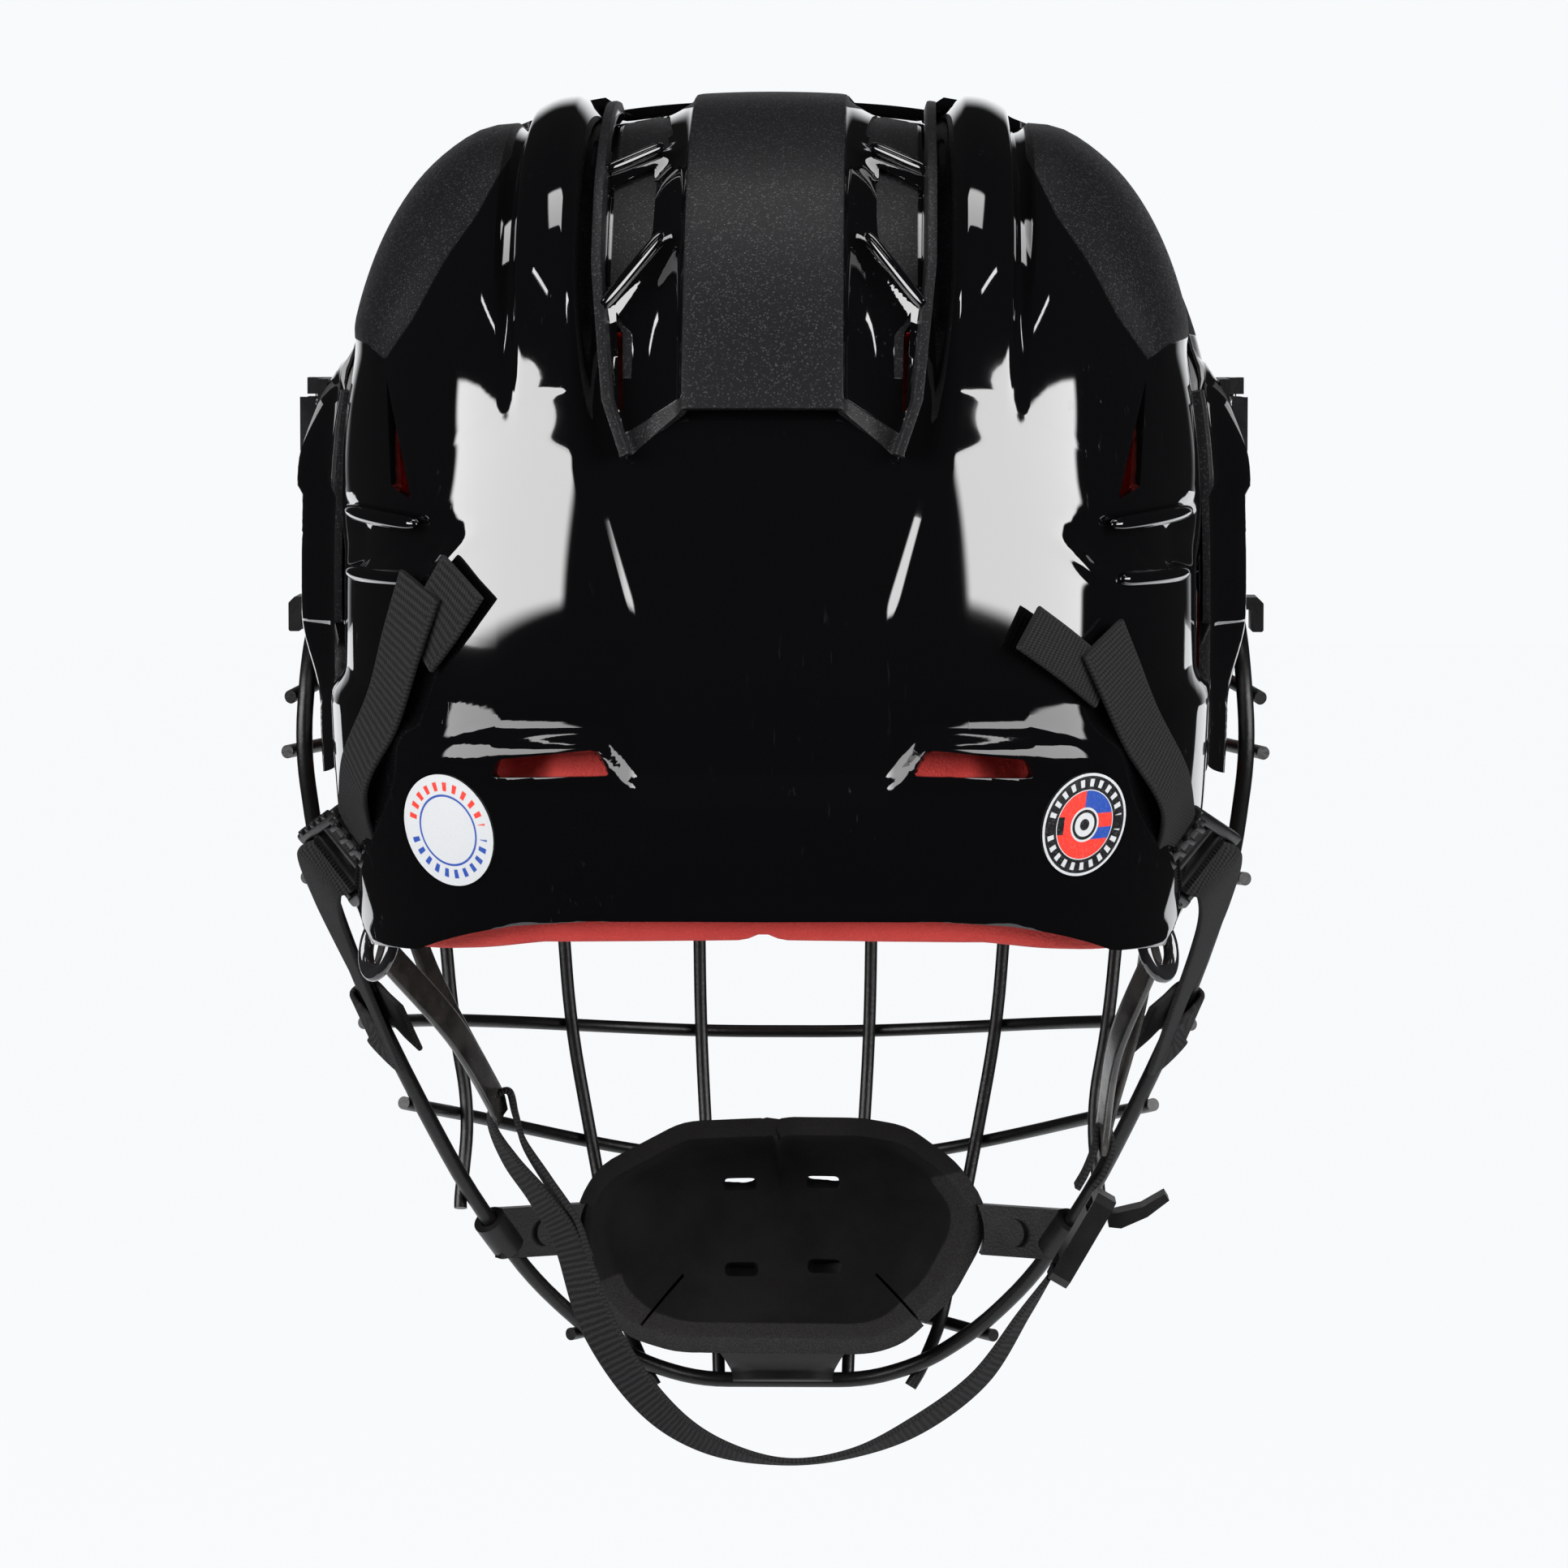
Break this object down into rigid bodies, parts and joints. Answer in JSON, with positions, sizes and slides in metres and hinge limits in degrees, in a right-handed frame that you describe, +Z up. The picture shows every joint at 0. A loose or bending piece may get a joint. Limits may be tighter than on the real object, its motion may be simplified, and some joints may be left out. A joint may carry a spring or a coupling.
{
  "type": "ice hockey helmet with wire face cage",
  "caption": "Two-piece ice hockey helmet with a hinged wire face cage, foam liner, chin cup, webbing straps and buckles; the cage swings up and the shell adjusts in length.",
  "frame": {"origin": "middle of the wearer's head between the ears, where the head mount is", "axes": "+Z up, +Y the way the face points, +X the wearer's right"},
  "size_m": [0.2428, 0.2966, 0.3393],
  "materials": {
    "gloss_shell": "high gloss moulded shell",
    "matt_shell": "fine sparkling matt texture",
    "gloss_trim": "gloss",
    "moulded_black": "satin moulded",
    "ear_loop": "semi-rigid strap, satin",
    "liner_foam": "closed-cell foam",
    "cup_foam": "closed-cell foam",
    "cage_wire": "satin powder coat",
    "screw_steel": "blackened",
    "webbing": "woven polyester"
  },
  "bodies": {
    "rear_helmet": {"chin_buckle": "moulded_black", "chin_strap": "webbing", "chin_strap_link": "webbing", "corner_hook_left": "moulded_black", "corner_hook_right": "moulded_black", "crown_pad": "liner_foam", "crown_panel": "matt_shell", "ear_loop_left": "ear_loop", "ear_loop_right": "ear_loop", "ladder_lock_left": "moulded_black", "ladder_lock_right": "moulded_black", "rear_pad": "liner_foam", "rear_shell": "gloss_shell", "side_pad_left": "liner_foam", "side_pad_right": "liner_foam", "strap_tail_left": "webbing", "strap_tail_right": "webbing"},
    "front_helmet": {"brow_clip_left": "moulded_black", "brow_clip_right": "moulded_black", "brow_pad": "liner_foam", "clip_nuts": "screw_steel", "clip_screws": "screw_steel", "front_shell": "gloss_shell", "lock_base_left": "moulded_black", "lock_base_right": "moulded_black", "lock_pin_left": "screw_steel", "lock_pin_right": "screw_steel", "side_clip_left": "moulded_black", "side_clip_right": "moulded_black", "temple_pad_left": "liner_foam", "temple_pad_right": "liner_foam"},
    "cage": {"cage_bar_brow": "cage_wire", "cage_bar_chin": "cage_wire", "cage_bar_eye": "cage_wire", "cage_bar_lip": "cage_wire", "cage_bar_mouth": "cage_wire", "cage_bar_nose": "cage_wire", "cage_post_inner_left": "cage_wire", "cage_post_inner_right": "cage_wire", "cage_post_middle_left": "cage_wire", "cage_post_middle_right": "cage_wire", "cage_post_outer_left": "cage_wire", "cage_post_outer_right": "cage_wire", "cage_rim": "cage_wire", "cage_strap_left": "webbing", "cage_strap_right": "webbing", "chin_cup_pad": "cup_foam", "chin_cup_shell": "moulded_black", "chin_cup_tab": "moulded_black", "cup_arm_left": "moulded_black", "cup_arm_right": "moulded_black", "cup_rivets": "moulded_black"},
    "lock_lever_left": {"lock_lever_left": "gloss_trim"},
    "lock_lever_right": {"lock_lever_right": "gloss_trim"},
    "chin_release": {"chin_buckle_lever": "moulded_black"}
  },
  "joints": [
    {"name": "length_adjust", "type": "slide", "parent": "rear_helmet", "child": "front_helmet", "axis": [0, 1, 0], "range_m": [0, 0.012]},
    {"name": "cage_hinge", "type": "hinge", "parent": "front_helmet", "child": "cage", "pos_m": [0, 0.13802, 0.076], "axis": [1, 0, 0], "range_deg": [0, 90]},
    {"name": "lock_lever_left_flip", "type": "hinge", "parent": "front_helmet", "child": "lock_lever_left", "pos_m": [-0.11128, 0.02, 0.087], "axis": [0, 0, -1], "range_deg": [0, 100]},
    {"name": "lock_lever_right_flip", "type": "hinge", "parent": "front_helmet", "child": "lock_lever_right", "pos_m": [0.11128, 0.02, 0.087], "axis": [0, 0, 1], "range_deg": [0, 100]},
    {"name": "chin_release_lift", "type": "hinge", "parent": "rear_helmet", "child": "chin_release", "pos_m": [0.08226, -0.014, -0.10357], "axis": [0, -1, 0], "range_deg": [0, 45]}
  ]
}
